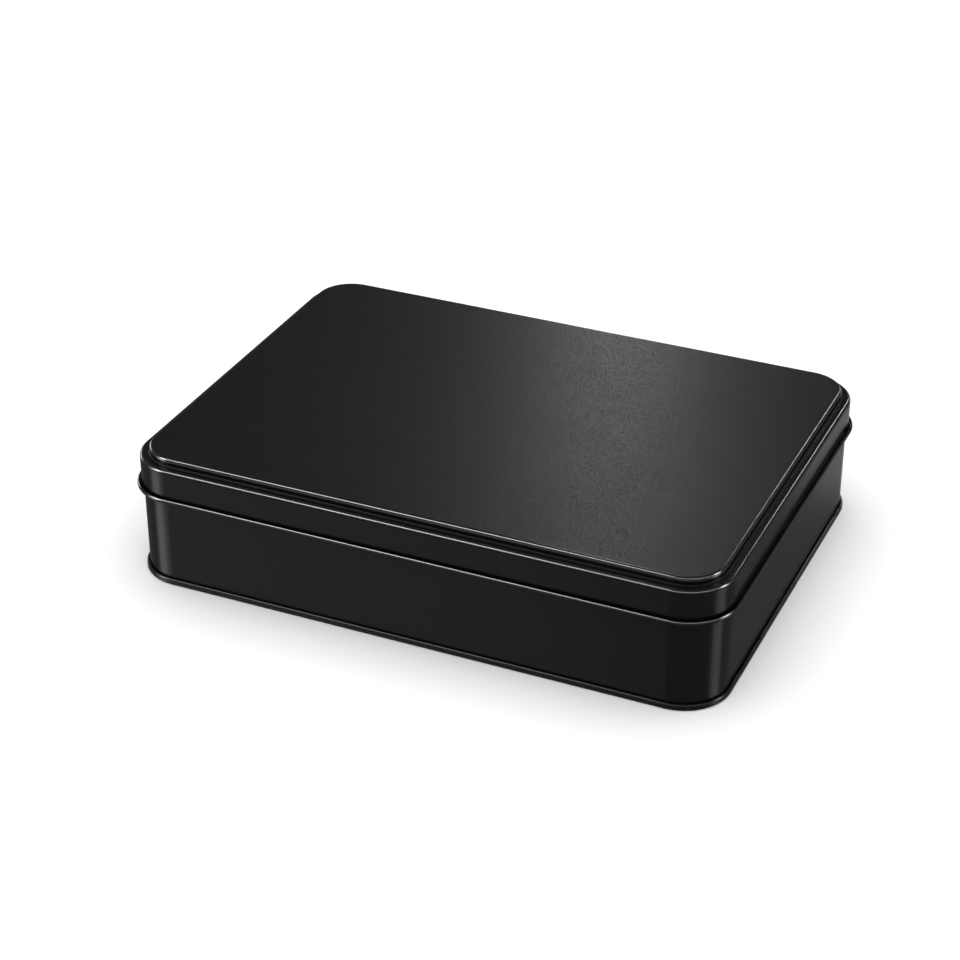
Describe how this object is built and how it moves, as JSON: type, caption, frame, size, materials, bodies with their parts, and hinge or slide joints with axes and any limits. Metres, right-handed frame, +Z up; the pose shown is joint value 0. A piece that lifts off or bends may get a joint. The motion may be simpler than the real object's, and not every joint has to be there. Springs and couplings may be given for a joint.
{
  "type": "hinged tin",
  "caption": "Low rectangular black tinplate box with rounded corners, a stepped hinged lid with a rolled edge, and a double-seamed bottom.",
  "frame": {"origin": "centre of the footprint, on the surface that the tin stands on", "axes": "+X along the length, +Y from the front towards the hinge at the back, +Z up"},
  "size_m": [0.19, 0.14, 0.042],
  "materials": {
    "black_lacquer": "black lacquer on tinplate: fine matte on the lid's panel, satin on the walls, beads and rims",
    "steel_wire": "bright drawn wire"
  },
  "bodies": {
    "body": {"body_wall": "black_lacquer", "bottom_plate": "black_lacquer"},
    "lid": {"lid": "black_lacquer", "hinge_wire_left": "steel_wire", "hinge_wire_right": "steel_wire"}
  },
  "joints": [
    {"name": "lid_hinge", "type": "hinge", "parent": "body", "child": "lid", "pos_m": [0, 0.0692, 0.0296], "axis": [-1, 0, 0], "range_deg": [0, 185]}
  ]
}
